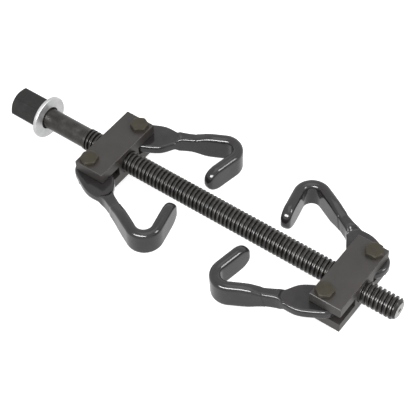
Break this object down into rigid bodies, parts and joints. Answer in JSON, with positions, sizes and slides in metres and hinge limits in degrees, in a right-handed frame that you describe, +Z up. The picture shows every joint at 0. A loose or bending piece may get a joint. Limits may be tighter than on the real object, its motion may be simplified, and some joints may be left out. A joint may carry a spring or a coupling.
{
  "type": "coil spring compressor",
  "caption": "Coil spring compressor: a hex-headed forcing screw draws together two slotted carriages, each with two swinging forged hooks that grip a coil spring.",
  "frame": {"origin": "centre of the outer end face of the forcing screw's hex head, on the screw's axis", "axes": "+X along the forcing screw from the hex head to the threaded tip, +Z up along the hooks' upright pivot bolts, +Y to the left hooks"},
  "size_m": [0.3617, 0.1278, 0.0356],
  "materials": {
    "screw_steel": "satin black oxide",
    "zinc_plate": "bright zinc plate",
    "carriage_steel": "satin black oxide on milled steel",
    "hook_paint": "gloss black enamel on forged steel",
    "bolt_steel": "satin black oxide"
  },
  "bodies": {
    "upper_carriage": {"upper_carriage": "carriage_steel", "upper_pivot_bolt_left": "bolt_steel", "upper_pivot_bolt_right": "bolt_steel"},
    "lower_carriage": {"lower_carriage": "carriage_steel", "lower_pivot_bolt_left": "bolt_steel", "lower_pivot_bolt_right": "bolt_steel"},
    "thrust_washer": {"thrust_washer": "zinc_plate"},
    "forcing_screw": {"forcing_screw": "screw_steel"},
    "upper_hook_left": {"upper_hook_left": "hook_paint"},
    "upper_hook_right": {"upper_hook_right": "hook_paint"},
    "lower_hook_left": {"lower_hook_left": "hook_paint"},
    "lower_hook_right": {"lower_hook_right": "hook_paint"}
  },
  "joints": [
    {"name": "upper_carriage_slide", "type": "slide", "parent": "upper_carriage", "child": "thrust_washer", "axis": [1, 0, 0], "range_m": [-0.015, 0.053]},
    {"name": "screw_turn", "type": "hinge", "parent": "thrust_washer", "child": "forcing_screw", "pos_m": [0, 0, 0], "axis": [1, 0, 0], "range_deg": [-2700, 2160]},
    {"name": "lower_carriage_travel", "type": "slide", "parent": "thrust_washer", "child": "lower_carriage", "axis": [1, 0, 0], "range_m": [-0.0217, 0.0271]},
    {"name": "upper_hook_left_swing", "type": "hinge", "parent": "upper_carriage", "child": "upper_hook_left", "pos_m": [0.1056, 0.0252, 0], "axis": [0, 0, 1], "range_deg": [-4, 90]},
    {"name": "upper_hook_right_swing", "type": "hinge", "parent": "upper_carriage", "child": "upper_hook_right", "pos_m": [0.0956, -0.0252, 0], "axis": [0, 0, -1], "range_deg": [-4, 90]},
    {"name": "lower_hook_left_swing", "type": "hinge", "parent": "lower_carriage", "child": "lower_hook_left", "pos_m": [0.3238, 0.0252, 0], "axis": [0, 0, -1], "range_deg": [-4, 90]},
    {"name": "lower_hook_right_swing", "type": "hinge", "parent": "lower_carriage", "child": "lower_hook_right", "pos_m": [0.3138, -0.0252, 0], "axis": [0, 0, 1], "range_deg": [-4, 90]}
  ],
  "couplings": [
    {"joint": "lower_carriage_travel", "follows": "screw_turn", "m_per_rad": -0.00057296}
  ]
}
